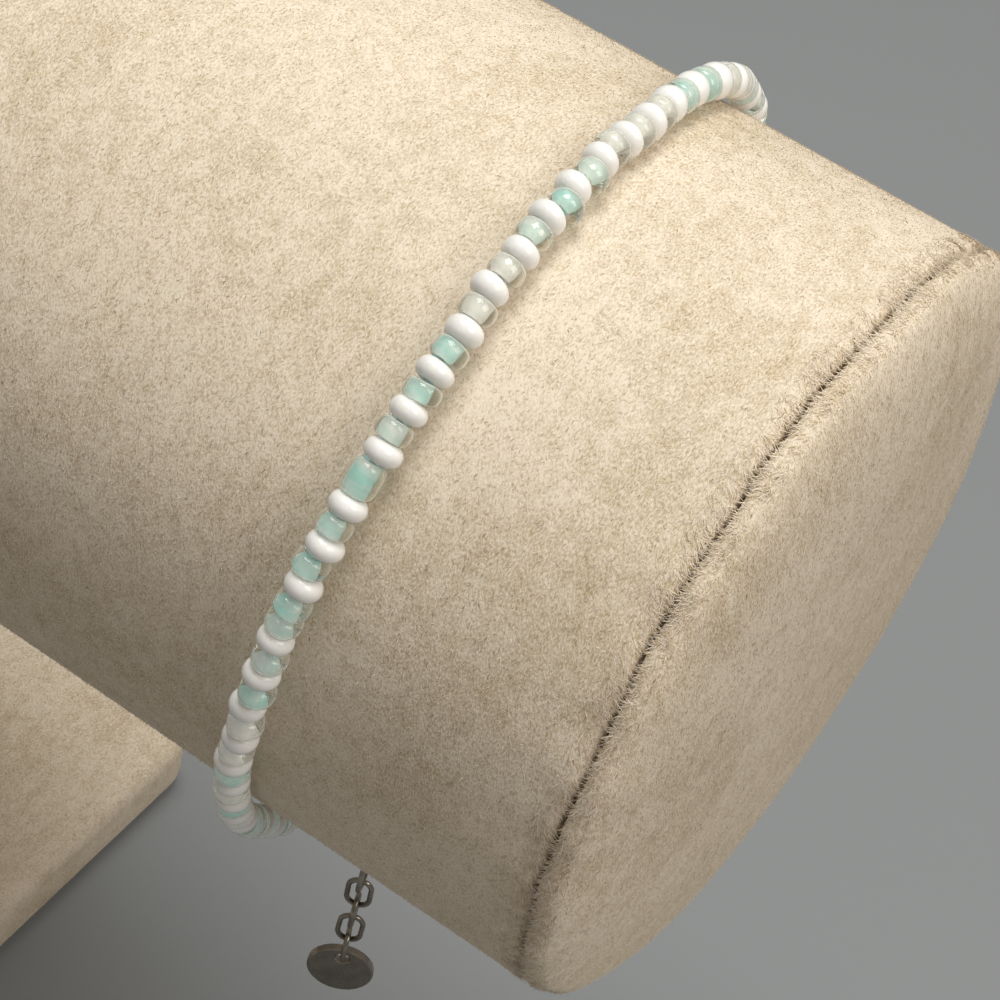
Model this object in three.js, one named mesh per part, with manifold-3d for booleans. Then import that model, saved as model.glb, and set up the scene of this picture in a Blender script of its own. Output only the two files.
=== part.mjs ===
// A single-strand glass seed-bead bracelet, fastened round the velvet roll of a T-bar display stand.
// Millimetres, +Z up, +X along the roll, origin at the middle of the base plate's underside.
import * as THREE from 'three';
import { mergeVertices } from 'three/addons/utils/BufferGeometryUtils.js';
import Module from 'manifold-3d';

const wasm = await Module();
wasm.setup();

// Clearance left between two pieces that touch.
const fitGap = 0.3;

// Stand
const baseLength = 68;
const baseWidth = 68;
const baseThickness = 8;
const baseCornerRadius = 3.5;
const baseEdgeRound = 2.2;
const postRadius = 11;
const rollRadius = 30;
const rollAxisHeight = 106;
const rollSeamLength = 196;
const capDepth = 5.3;
const domeFullness = 2.5;
const seamTuck = 0.6;
const rollSides = 60;

// Bead string and the loop that it makes round the roll
const beadDiameter = 2.6;
const beadPitch = 1.61;
const threadGrooveShare = 0.7;
const beadToRollGap = 0.34;
const loopSeamInset = 22.9;
const loopLean = 0.0857;
const loopTurn = -0.0293;
const loopSag = 2;
const sagHalfSpan = THREE.MathUtils.degToRad(52);
const chainRingAngle = THREE.MathUtils.degToRad(2.2);

// Metal findings
const tipLength = 2.5;
const tipRadius = 1.05;
const tipNeckRadius = 0.5;
const eyeRadius = 0.95;
const eyeWireRadius = 0.28;
const chainRingRadius = 2.5;
const chainRingWireRadius = 0.35;
const claspRingRadius = 1.9;
const claspRingWireRadius = 0.3;
const claspLength = 10.4;
const claspHalfWidth = 2.3;
const claspThickness = 1.2;
const claspBarWidth = 1.1;
const claspEyeRadius = 0.75;
const claspEyeWall = 0.8;
const claspEdgeRound = 0.2;
const claspSlotLength = 3.1;
const claspSlotHalfWidth = 1.05;
const claspGap = 0.4;
const claspRingGap = 0.45;

// Extension chain and its end tag
const linkCount = 12;
const linkLength = 3.45;
const linkWidth = 2.1;
const linkWireRadius = 0.25;
const linkTwist = THREE.MathUtils.degToRad(92.14);
const tagRadius = 3.05;
const tagThickness = 0.8;
const tagHoleRadius = 0.6;
const tagRim = 0.7;
const tagEdgeRound = 0.15;

// Sizes that follow from those above
const beadRadius = beadDiameter / 2;
const loopRadius = rollRadius + beadToRollGap + beadRadius;
const seamX = rollSeamLength / 2;
const loopX = seamX - loopSeamInset;
const postTop = rollAxisHeight - rollRadius;

const velvet = new THREE.MeshStandardMaterial({ color: 0xcdbd9f, roughness: 0.95, metalness: 0 });
const glass = new THREE.MeshStandardMaterial({ color: 0xe3ece6, roughness: 0.15, metalness: 0 });
const silver = new THREE.MeshStandardMaterial({ color: 0xc9c7c2, roughness: 0.25, metalness: 1 });

const bracelet = new THREE.Group();
const stand = new THREE.Group();

function addPiece(group, name, geometry, material) {
  const mesh = new THREE.Mesh(geometry, material.clone());
  mesh.name = name;
  group.add(mesh);
  return mesh;
}

// Merge the shared corners of a geometry, keeping only positions.
function weld(geometry) {
  const bare = geometry.clone();
  bare.deleteAttribute('normal');
  bare.deleteAttribute('uv');
  return mergeVertices(bare, 1e-4);
}

function toSolid(geometry) {
  const welded = weld(geometry);
  return new wasm.Manifold(new wasm.Mesh({
    numProp: 3,
    vertProperties: new Float32Array(welded.attributes.position.array),
    triVerts: new Uint32Array(welded.index.array),
  }));
}

function toGeometry(solid) {
  const mesh = solid.getMesh();
  const geometry = new THREE.BufferGeometry();
  geometry.setAttribute('position', new THREE.BufferAttribute(mesh.vertProperties, 3));
  geometry.setIndex(new THREE.BufferAttribute(mesh.triVerts, 1));
  geometry.computeVertexNormals();
  return geometry;
}

// A solid turned about +X: the profile's points are (radius, place along X).
function turnAboutX(profile, segments) {
  const geometry = new THREE.LatheGeometry(profile.map(([radius, x]) => new THREE.Vector2(radius, x)), segments);
  geometry.rotateZ(-Math.PI / 2);
  return geometry;
}

// Points of a quarter round from angle start to angle end, about a centre given as (radius, x).
function quarterRound(centreRadius, centreX, round, start, end, steps) {
  const points = [];
  for (let i = 0; i <= steps; i += 1) {
    const angle = start + (end - start) * (i / steps);
    points.push([centreRadius + round * Math.cos(angle), centreX + round * Math.sin(angle)]);
  }
  return points;
}

// The sleeve runs from seam to seam, its cloth tucked in at both.
function rollSleeve() {
  const half = seamX - fitGap / 2;
  const tucked = rollRadius - seamTuck;
  const profile = [
    [0, -half],
    ...quarterRound(tucked, seamTuck - half, seamTuck, -Math.PI / 2, 0, 3),
    ...quarterRound(tucked, half - seamTuck, seamTuck, 0, Math.PI / 2, 3),
    [0, half],
  ];
  return turnAboutX(profile, rollSides);
}

// A cap's dome. It rises fast behind the seam and is nearly flat over its middle.
function endCap() {
  const face = fitGap / 2;
  const tucked = rollRadius - seamTuck;
  const rise = capDepth - face - seamTuck;
  const radiusShares = [0.975, 0.93, 0.86, 0.76, 0.62, 0.45, 0.23, 0];
  const domePoints = radiusShares.map((share) => [
    rollRadius * share,
    face + seamTuck + rise * Math.sqrt(1 - share ** domeFullness),
  ]);
  const edge = quarterRound(tucked, face + seamTuck, seamTuck, -Math.PI / 2, 0, 2);
  return turnAboutX([[0, face], ...edge, ...domePoints], rollSides);
}

// The post stands on the base and its top is hollowed to follow the roll's underside.
function rollPost() {
  const bottom = baseThickness + fitGap;
  const height = postTop + postRadius - bottom;
  const upright = new THREE.CylinderGeometry(postRadius, postRadius, height, 40);
  upright.rotateX(Math.PI / 2);
  upright.translate(0, 0, bottom + height / 2);
  const saddle = new THREE.CylinderGeometry(rollRadius + fitGap, rollRadius + fitGap, 4 * postRadius, rollSides);
  saddle.rotateZ(-Math.PI / 2);
  saddle.translate(0, 0, rollAxisHeight);
  return toGeometry(toSolid(upright).subtract(toSolid(saddle)));
}

// The base is a rounded rectangle whose edges are rolled over by the cloth.
function basePlate() {
  const halfLength = baseLength / 2 - baseEdgeRound;
  const halfWidth = baseWidth / 2 - baseEdgeRound;
  const corner = baseCornerRadius - baseEdgeRound;
  const outline = new THREE.Shape();
  outline.absarc(halfLength - corner, halfWidth - corner, corner, 0, Math.PI / 2);
  outline.absarc(corner - halfLength, halfWidth - corner, corner, Math.PI / 2, Math.PI);
  outline.absarc(corner - halfLength, corner - halfWidth, corner, Math.PI, 1.5 * Math.PI);
  outline.absarc(halfLength - corner, corner - halfWidth, corner, 1.5 * Math.PI, 2 * Math.PI);
  const plate = new THREE.ExtrudeGeometry(outline, {
    depth: baseThickness - 2 * baseEdgeRound,
    bevelThickness: baseEdgeRound,
    bevelSize: baseEdgeRound,
    bevelSegments: 3,
    curveSegments: 5,
  });
  plate.translate(0, 0, baseEdgeRound);
  return plate;
}

// The loop hugs the roll and sags a little below it. Its angle is 0 at the bottom and grows to the back.
function loopPoint(angle) {
  const away = Math.abs(Math.atan2(Math.sin(angle), Math.cos(angle))) / sagHalfSpan;
  const sag = away < 1 ? loopSag * (0.5 + 0.5 * Math.cos(Math.PI * away)) : 0;
  const radius = loopRadius + sag;
  const y = radius * Math.sin(angle);
  const z = -radius * Math.cos(angle);
  return new THREE.Vector3(loopX + loopLean * z + loopTurn * y, y, rollAxisHeight + z);
}

// The angle on the loop at a straight distance from a point, going to the back (1) or the front (-1).
function angleAtDistance(from, startAngle, side, distance) {
  let near = startAngle;
  let far = startAngle + (side * 2 * distance) / loopRadius;
  for (let i = 0; i < 40; i += 1) {
    const middle = (near + far) / 2;
    if (loopPoint(middle).distanceTo(from) < distance) {
      near = middle;
    } else {
      far = middle;
    }
  }
  return (near + far) / 2;
}

// Square to the plane that the loop lies in.
const loopNormal = new THREE.Vector3(1, -loopTurn, -loopLean).normalize();

// The placing of a piece whose local X runs along a direction and whose local Z is square to the loop.
function placeAlong(point, along) {
  const across = new THREE.Vector3().crossVectors(loopNormal, along).normalize();
  const matrix = new THREE.Matrix4().makeBasis(along, across, loopNormal);
  return matrix.setPosition(point);
}

// How far an eye's middle lies from the middle of the ring that it hangs in.
function eyeReach(ringRadius, ringWireRadius) {
  return ringRadius - ringWireRadius - fitGap - eyeWireRadius + eyeRadius;
}

// A bead tip: a round metal bead on a neck, with an eye square to the ring that it hangs in.
function endTip(reach) {
  const eye = new THREE.TorusGeometry(eyeRadius, eyeWireRadius, 6, 18);
  eye.rotateX(Math.PI / 2);
  eye.translate(reach, 0, 0);
  const start = reach + eyeRadius;
  const roundness = 6;
  const belly = tipLength - tipNeckRadius;
  const profile = [[0, start], [tipNeckRadius, start]];
  for (let i = 1; i <= roundness; i += 1) {
    const angle = -Math.PI / 2 + (Math.PI * i) / (roundness + 1);
    profile.push([
      Math.max(tipNeckRadius, tipRadius * Math.cos(angle)),
      start + tipNeckRadius + (belly / 2) * (1 + Math.sin(angle)),
    ]);
  }
  profile.push([tipNeckRadius, start + tipLength], [0, start + tipLength]);
  return toGeometry(toSolid(eye).add(toSolid(turnAboutX(profile, 14))));
}

// A ring of round wire lying in the loop's plane.
function jumpRing(radius, wireRadius, segments) {
  return new THREE.TorusGeometry(radius, wireRadius, 6, segments);
}

// Where the clasp starts, and where the middle of the ring in its eye lies, from the chain ring's middle.
const claspStart = chainRingRadius - chainRingWireRadius - claspGap - claspBarWidth;
const claspEyeCentre = claspStart + claspLength - claspEyeWall - claspEyeRadius;
const claspRingReach = claspEyeCentre + claspEyeRadius - claspRingGap + claspRingRadius - claspRingWireRadius;

// The clasp lies square to both rings: a slot for the chain ring at one end and an eye at the other.
function lobsterClasp() {
  const noseRadius = claspSlotHalfWidth + claspBarWidth - claspEdgeRound;
  const eyeOuter = claspEyeRadius + claspEyeWall - claspEdgeRound;
  const noseCentre = claspEdgeRound + noseRadius;
  const eyeCentre = claspEyeCentre - claspStart;
  const shoulder = claspSlotLength + 2 * claspBarWidth;
  const side = claspHalfWidth - claspEdgeRound;
  const waist = (shoulder + eyeCentre) / 2;
  const outline = new THREE.Shape();
  outline.absarc(noseCentre, 0, noseRadius, Math.PI / 2, 1.5 * Math.PI);
  outline.lineTo(shoulder, -side);
  outline.quadraticCurveTo(waist, -side, eyeCentre, -eyeOuter);
  outline.absarc(eyeCentre, 0, eyeOuter, -Math.PI / 2, Math.PI / 2);
  outline.quadraticCurveTo(waist, side, shoulder, side);
  const slot = new THREE.Path();
  const slotRound = claspSlotHalfWidth + claspEdgeRound;
  const slotStart = claspBarWidth - claspEdgeRound + slotRound;
  slot.absarc(slotStart, 0, slotRound, Math.PI / 2, 1.5 * Math.PI);
  slot.absarc(slotStart + claspSlotLength - 2 * claspSlotHalfWidth, 0, slotRound, 1.5 * Math.PI, 2.5 * Math.PI);
  const eye = new THREE.Path();
  eye.absarc(eyeCentre, 0, claspEyeRadius + claspEdgeRound, 0, 2 * Math.PI);
  outline.holes.push(slot, eye);
  const clasp = new THREE.ExtrudeGeometry(outline, {
    depth: claspThickness - 2 * claspEdgeRound,
    bevelThickness: claspEdgeRound,
    bevelSize: claspEdgeRound,
    bevelSegments: 1,
    curveSegments: 8,
  });
  clasp.translate(claspStart, 0, claspEdgeRound - claspThickness / 2);
  clasp.rotateX(Math.PI / 2);
  return weld(clasp);
}

// A link is a ring drawn out along Z. No corner of the ring may lie on its middle line.
function chainLink() {
  const bend = linkWidth / 2;
  const sides = 12;
  const link = new THREE.TorusGeometry(bend, linkWireRadius, 6, sides);
  link.rotateZ(Math.PI / sides);
  const stretch = (linkLength - linkWidth) / 2;
  const position = link.attributes.position;
  for (let i = 0; i < position.count; i += 1) {
    position.setY(i, position.getY(i) + Math.sign(position.getY(i)) * stretch);
  }
  link.rotateX(Math.PI / 2);
  return weld(link);
}

// The tag hangs in the XZ plane, with its middle at the origin and its hole above.
function endTag() {
  const outline = new THREE.Shape();
  outline.absarc(0, 0, tagRadius - tagEdgeRound, 0, 2 * Math.PI);
  const hole = new THREE.Path();
  hole.absarc(0, tagRadius - tagRim - tagHoleRadius, tagHoleRadius + tagEdgeRound, 0, 2 * Math.PI);
  outline.holes.push(hole);
  const tag = new THREE.ExtrudeGeometry(outline, {
    depth: tagThickness - 2 * tagEdgeRound,
    bevelThickness: tagEdgeRound,
    bevelSize: tagEdgeRound,
    bevelSegments: 1,
    curveSegments: 14,
  });
  tag.translate(0, 0, tagEdgeRound - tagThickness / 2);
  tag.rotateX(Math.PI / 2);
  return weld(tag);
}

// The strand is one body: a cylinder bent along the loop, which swells at each bead and narrows between.
function beadString(startAngle, endAngle) {
  const rough = [];
  const roughSteps = 720;
  for (let i = 0; i <= roughSteps; i += 1) {
    rough.push(loopPoint(startAngle + (endAngle - startAngle) * (i / roughSteps)));
  }
  const route = new THREE.CatmullRomCurve3(rough);
  route.arcLengthDivisions = 4 * roughSteps;
  const beadCount = Math.round(route.getLength() / beadPitch);
  const rowsPerBead = 3;
  const rowPlaces = [0, 0.26, 0.74];
  const rowRadii = [beadRadius * threadGrooveShare, beadRadius, beadRadius];
  const rows = rowsPerBead * beadCount;
  const strand = weld(new THREE.CylinderGeometry(1, 1, 1, 10, rows));
  const position = strand.attributes.position;
  const alongRoute = new THREE.Vector3();
  const outward = new THREE.Vector3();
  for (let i = 0; i < position.count; i += 1) {
    const row = Math.round((position.getY(i) + 0.5) * rows);
    const bead = Math.floor(row / rowsPerBead);
    const share = (bead + rowPlaces[row % rowsPerBead]) / beadCount;
    const radius = rowRadii[row % rowsPerBead];
    const centre = route.getPointAt(Math.min(share, 1));
    alongRoute.copy(route.getTangentAt(Math.min(share, 1)));
    outward.crossVectors(alongRoute, loopNormal);
    centre.addScaledVector(loopNormal, -radius * position.getZ(i));
    centre.addScaledVector(outward, -radius * position.getX(i));
    position.setXYZ(i, centre.x, centre.y, centre.z);
  }
  return strand;
}

// Stand
addPiece(stand, 'base_plate', basePlate(), velvet);
addPiece(stand, 'roll_post', rollPost(), velvet);
addPiece(stand, 'roll_sleeve', rollSleeve(), velvet).position.set(0, 0, rollAxisHeight);
addPiece(stand, 'end_cap_right', endCap(), velvet).position.set(seamX, 0, rollAxisHeight);
const leftCap = addPiece(stand, 'end_cap_left', endCap(), velvet);
leftCap.position.set(-seamX, 0, rollAxisHeight);
leftCap.rotation.z = Math.PI;

// The two rings, and the directions in which the tips and the clasp pull on them
const chainRingCentre = loopPoint(chainRingAngle);
const frontReach = eyeReach(chainRingRadius, chainRingWireRadius);
const frontStringDistance = frontReach + eyeRadius + tipLength + fitGap;
const frontAngle = angleAtDistance(chainRingCentre, chainRingAngle, -1, frontStringDistance);
const claspRingAngle = angleAtDistance(chainRingCentre, chainRingAngle, 1, claspRingReach);
const claspRingCentre = loopPoint(claspRingAngle);
const backReach = eyeReach(claspRingRadius, claspRingWireRadius);
const backStringDistance = backReach + eyeRadius + tipLength + fitGap;
const backAngle = angleAtDistance(claspRingCentre, claspRingAngle, 1, backStringDistance);

function directionTo(from, angle) {
  return loopPoint(angle).sub(from).normalize();
}

const fullTurn = 2 * Math.PI;
addPiece(bracelet, 'bead_string', beadString(backAngle, frontAngle + fullTurn), glass);

const frontTip = addPiece(bracelet, 'end_tip_front', endTip(frontReach), silver);
frontTip.applyMatrix4(placeAlong(chainRingCentre, directionTo(chainRingCentre, frontAngle)));
const chainRing = addPiece(bracelet, 'chain_ring', jumpRing(chainRingRadius, chainRingWireRadius, 28), silver);
const claspDirection = claspRingCentre.clone().sub(chainRingCentre).normalize();
chainRing.applyMatrix4(placeAlong(chainRingCentre, claspDirection));
const clasp = addPiece(bracelet, 'lobster_clasp', lobsterClasp(), silver);
clasp.applyMatrix4(placeAlong(chainRingCentre, claspDirection));
const claspRing = addPiece(bracelet, 'clasp_ring', jumpRing(claspRingRadius, claspRingWireRadius, 24), silver);
claspRing.applyMatrix4(placeAlong(claspRingCentre, claspDirection));
const backTip = addPiece(bracelet, 'end_tip_back', endTip(backReach), silver);
backTip.applyMatrix4(placeAlong(claspRingCentre, directionTo(claspRingCentre, backAngle)));

// The chain hangs straight down from the lowest point of its ring, each link turned from the last.
const down = new THREE.Vector3(0, 0, -1);
const lowest = down.clone().addScaledVector(loopNormal, -down.dot(loopNormal)).normalize();
const firstLinkDrop = chainRingRadius - chainRingWireRadius - fitGap - linkWireRadius;
const linkPitch = linkLength - 2 * linkWireRadius - fitGap;
const chainTop = chainRingCentre.clone().addScaledVector(lowest, firstLinkDrop);
const firstHeading = Math.atan2(loopNormal.y, loopNormal.x);
for (let i = 0; i < linkCount; i += 1) {
  const name = `extension_link_${String(i + 1).padStart(2, '0')}`;
  const link = addPiece(bracelet, name, chainLink(), silver);
  link.position.copy(chainTop);
  link.position.z -= linkLength / 2 + i * linkPitch;
  link.rotation.z = firstHeading + i * linkTwist;
}

// The last link passes through the tag's hole, so the tag is turned square to it.
const tag = addPiece(bracelet, 'end_tag', endTag(), silver);
const lastLinkBottom = chainTop.z - linkLength - (linkCount - 1) * linkPitch;
const tagHoleZ = lastLinkBottom + linkWireRadius + fitGap - tagHoleRadius;
tag.position.set(chainTop.x, chainTop.y, tagHoleZ - (tagRadius - tagRim - tagHoleRadius));
tag.rotation.z = firstHeading + (linkCount - 1) * linkTwist + Math.PI / 2;

const part = new THREE.Group();
part.add(stand, bracelet);

export default part;
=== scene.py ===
"""Looks of a seed-bead bracelet fastened round the velvet roll of a T-bar stand.

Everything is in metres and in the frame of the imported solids: +X runs along the roll towards the
bracelet, +Y goes to the back and +Z up, from the middle of the base plate's underside.
"""

from __future__ import annotations

import logging
import math
import random
from collections.abc import Iterable, Sequence
from dataclasses import dataclass
from enum import Enum

import bmesh
import bpy
import numpy as np
from mathutils import Matrix, Vector

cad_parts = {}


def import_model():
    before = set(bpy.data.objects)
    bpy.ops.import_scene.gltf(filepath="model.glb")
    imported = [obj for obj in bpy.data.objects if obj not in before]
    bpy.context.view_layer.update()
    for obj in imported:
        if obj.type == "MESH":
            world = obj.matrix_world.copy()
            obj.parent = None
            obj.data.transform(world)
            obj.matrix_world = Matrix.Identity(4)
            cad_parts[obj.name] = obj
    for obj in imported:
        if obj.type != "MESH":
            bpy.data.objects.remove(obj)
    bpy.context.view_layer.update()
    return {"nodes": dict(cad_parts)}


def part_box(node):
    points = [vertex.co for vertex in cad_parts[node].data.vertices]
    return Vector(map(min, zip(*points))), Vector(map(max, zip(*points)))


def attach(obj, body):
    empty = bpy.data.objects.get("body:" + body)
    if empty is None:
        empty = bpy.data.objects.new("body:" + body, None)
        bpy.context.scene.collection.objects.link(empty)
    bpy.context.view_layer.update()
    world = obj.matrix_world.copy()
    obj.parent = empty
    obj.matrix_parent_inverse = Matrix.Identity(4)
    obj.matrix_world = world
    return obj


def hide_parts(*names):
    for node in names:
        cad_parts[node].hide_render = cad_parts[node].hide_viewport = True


LOG = logging.getLogger("bracelet")
MM = 0.001
BODY = "root"
FULL_TURN = 2 * math.pi

# Points nearer than WELD become one, and a length under SPECK counts as none
WELD = 1e-7
SPECK = 0.001 * MM

# The sockets of a Mix node: factor, the two numbers or the two colours, and the mixed colour
MIX_FACTOR, MIX_LOW, MIX_HIGH, MIX_A, MIX_B, MIX_RESULT = 0, 2, 3, 6, 7, 2

# Mesh attributes: the run of a velvet's pile, a place in a bead in mm, nearness to a bore's mouth
PILE_RUN = "pile_run"
BEAD_PLACE = "bead_place"
MOUTH_SHARE = "mouth_share"

Profile = Sequence[tuple[float, float]]


# Finishes


def linear(code: str) -> tuple[float, float, float, float]:
    """The linear colour of an sRGB hex value.

    Args:
        code: the colour, such as "#e8dcc0".

    Returns:
        Red, green, blue and full opacity.
    """
    channels = (int(code[i : i + 2], 16) / 255 for i in (1, 3, 5))
    red, green, blue = (
        c / 12.92 if c <= 0.04045 else ((c + 0.055) / 1.055) ** 2.4 for c in channels
    )
    return red, green, blue, 1.0


def add_node(
    tree: bpy.types.NodeTree,
    kind: str,
    inputs: dict[str | int, object] | None = None,
    **settings: object,
) -> bpy.types.Node:
    """Adds a node with its settings, values and links.

    Args:
        tree: the material's node tree.
        kind: the node's type, such as "ShaderNodeTexNoise".
        inputs: for each input, a value, or the output socket that it is linked to.
        **settings: the node's own properties.

    Returns:
        The new node.
    """
    node = tree.nodes.new(kind)
    for name, value in settings.items():
        setattr(node, name, value)
    for name, value in (inputs or {}).items():
        if isinstance(value, bpy.types.NodeSocket):
            tree.links.new(value, node.inputs[name])
        else:
            node.inputs[name].default_value = value
    return node


def blank_material(name: str) -> bpy.types.Material:
    """A node material with an empty tree.

    Args:
        name: the material's name.

    Returns:
        The material.
    """
    material = bpy.data.materials.new(name)
    material.use_nodes = True
    material.node_tree.nodes.clear()
    return material


def shade(material: bpy.types.Material, inputs: dict[str | int, object]) -> bpy.types.Material:
    """Ends a material with its shader and output.

    Args:
        material: the material, its patterns laid.
        inputs: the shader's values and links.

    Returns:
        The same material.
    """
    shader = add_node(material.node_tree, "ShaderNodeBsdfPrincipled", inputs)
    add_node(material.node_tree, "ShaderNodeOutputMaterial", {"Surface": shader.outputs[0]})
    return material


@dataclass(frozen=True)
class CutVelvet:
    """Beige cotton velvet, woven with a short cut pile and glued taut over board or card.

    The eye sees short strokes where tufts of the pile lie over each other, darker between them,
    small clumps that lean together, broad patches where a hand has brushed the pile, and a pale
    bloom where it is seen along the surface.
    """

    lit: str = "#eee1cf"
    deep: str = "#b5a07c"
    bloom: str = "#fff3dc"
    tuft_width: float = 0.12 * MM
    tuft_length: float = 0.26 * MM
    clump_width: float = 1.2 * MM
    clump_length: float = 1.92 * MM
    clump_share: float = 0.3
    patch_size: float = 15 * MM
    patch_share: float = 0.25
    # The pattern's strengths where the cloth is at its deepest and at its palest
    deepest: float = 0.32
    palest: float = 0.56
    relief: float = 0.12 * MM
    pile_tones: tuple[str, ...] = ("#eee1d1", "#e1d1ba", "#c5b08e", "#84755b")
    tone_shares: tuple[float, ...] = (0.46, 0.44, 0.0985, 0.0015)

    def ground(self) -> bpy.types.Material:
        """The cloth under the pile's loose tips, its strokes along the run of the pile.

        Returns:
            The cloth's material.
        """
        material = blank_material("cut_velvet_beige")
        tree = material.node_tree
        run = add_node(tree, "ShaderNodeAttribute", attribute_name=PILE_RUN).outputs["Vector"]
        place = add_node(tree, "ShaderNodeTexCoord").outputs["Object"]
        tufts = self._noise(tree, run, (self.tuft_width, self.tuft_length, self.tuft_width))
        clumps = self._noise(tree, run, (self.clump_width, self.clump_length, self.clump_width))
        patches = self._noise(tree, place, (self.patch_size,) * 3)
        fine = add_node(
            tree,
            "ShaderNodeMix",
            {MIX_FACTOR: self.clump_share, MIX_LOW: tufts, MIX_HIGH: clumps},
            data_type="FLOAT",
        ).outputs[0]
        blend = add_node(
            tree,
            "ShaderNodeMix",
            {MIX_FACTOR: self.patch_share, MIX_LOW: fine, MIX_HIGH: patches},
            data_type="FLOAT",
        ).outputs[0]
        share = add_node(
            tree,
            "ShaderNodeMapRange",
            {"Value": blend, "From Min": self.deepest, "From Max": self.palest},
        ).outputs[0]
        colour = add_node(
            tree,
            "ShaderNodeMix",
            {MIX_FACTOR: share, MIX_A: linear(self.deep), MIX_B: linear(self.lit)},
            data_type="RGBA",
        )
        bump = add_node(
            tree, "ShaderNodeBump", {"Strength": 0.6, "Distance": self.relief, "Height": fine}
        )
        return self._cover(material, colour.outputs[MIX_RESULT], {"Normal": bump.outputs[0]})

    def pile(self) -> list[bpy.types.Material]:
        """The loose fibre tips, in the tones that their lean gives them, and a few stray dark ones.

        Returns:
            A material for each tone, the palest first.
        """
        fibres = []
        for name, tone in zip(("pale", "mid", "deep", "stray"), self.pile_tones):
            material = bpy.data.materials.get(f"velvet_fibre_{name}")
            if material is None:
                material = blank_material(f"velvet_fibre_{name}")
                self._cover(material, linear(tone), {})
            fibres.append(material)
        return fibres

    def _noise(
        self,
        tree: bpy.types.NodeTree,
        place: bpy.types.NodeSocket,
        size: tuple[float, float, float],
    ) -> bpy.types.NodeSocket:
        """A noise of a real size.

        Args:
            tree: the material's node tree.
            place: the coordinates, in metres.
            size: the size of its grain along each of them.

        Returns:
            The socket of its strength.
        """
        scaled = add_node(
            tree, "ShaderNodeMapping", {"Vector": place, "Scale": tuple(1 / side for side in size)}
        )
        noise = add_node(
            tree,
            "ShaderNodeTexNoise",
            {"Vector": scaled.outputs[0], "Scale": 1.0, "Detail": 2.0, "Distortion": 0.5},
        )
        return noise.outputs["Fac"]

    def _cover(
        self, material: bpy.types.Material, colour: object, relief: dict[str | int, object]
    ) -> bpy.types.Material:
        """Ends a material as cotton pile of a colour.

        Args:
            material: the material, its patterns laid.
            colour: a linear colour or the socket that gives one.
            relief: the shader's Normal link, where there is a bump.

        Returns:
            The same material.
        """
        cotton = {
            "Base Color": colour,
            "Roughness": 0.95,
            "Specular IOR Level": 0.15,
            "Sheen Weight": 0.3,
            "Sheen Roughness": 0.5,
            "Sheen Tint": linear(self.bloom),
        }
        return shade(material, {**cotton, **relief})


@dataclass(frozen=True)
class OpaqueGlass:
    """White soda-lime glass, drawn as a cane, chopped and tumbled in the heat.

    Tumbling gives a wet, rounded gloss, and light spreads inside the glass, so its shaded side
    stays white.
    """

    name: str = "opaque_white_seed_glass"
    colour: str = "#fcfbfa"
    clouded: str = "#f5f3f1"
    clouds_per_mm: float = 0.9
    light_spread: float = 0.9 * MM

    def make(self) -> bpy.types.Material:
        """The glass of the white beads.

        Returns:
            The material.
        """
        material = blank_material(self.name)
        tree = material.node_tree
        place = add_node(tree, "ShaderNodeAttribute", attribute_name=BEAD_PLACE).outputs["Vector"]
        cloud = add_node(
            tree,
            "ShaderNodeTexNoise",
            {"Vector": place, "Scale": self.clouds_per_mm, "Detail": 1.0},
        ).outputs["Fac"]
        colour = add_node(
            tree,
            "ShaderNodeMix",
            {MIX_FACTOR: cloud, MIX_A: linear(self.clouded), MIX_B: linear(self.colour)},
            data_type="RGBA",
        )
        return shade(
            material,
            {
                "Base Color": colour.outputs[MIX_RESULT],
                "Roughness": 0.16,
                "IOR": 1.52,
                "Subsurface Weight": 0.7,
                "Subsurface Radius": (1.0, 1.0, 1.0),
                "Subsurface Scale": self.light_spread,
            },
        )


@dataclass(frozen=True)
class ClearGlass:
    """Clear soda-lime glass, drawn, chopped and tumbled.

    The eye sees the lining swollen by it, and a pale rim where the wall is seen edge on and
    gathers the light.
    """

    name: str = "clear_seed_glass"
    colour: str = "#fbfaf0"
    clearness: float = 0.9
    rim_clearness: float = 0.4
    rim_start: float = 0.35
    rim_full: float = 0.9

    def make(self) -> bpy.types.Material:
        """The clear wall of the lined beads.

        Returns:
            The material.
        """
        material = blank_material(self.name)
        tree = material.node_tree
        edge = add_node(tree, "ShaderNodeLayerWeight", {"Blend": 0.5}).outputs["Facing"]
        clearness = add_node(
            tree,
            "ShaderNodeMapRange",
            {
                "Value": edge,
                "From Min": self.rim_start,
                "From Max": self.rim_full,
                "To Min": self.clearness,
                "To Max": self.rim_clearness,
            },
        )
        return shade(
            material,
            {
                "Base Color": linear(self.colour),
                "Roughness": 0.04,
                "IOR": 1.5,
                "Transmission Weight": clearness.outputs[0],
            },
        )


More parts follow.
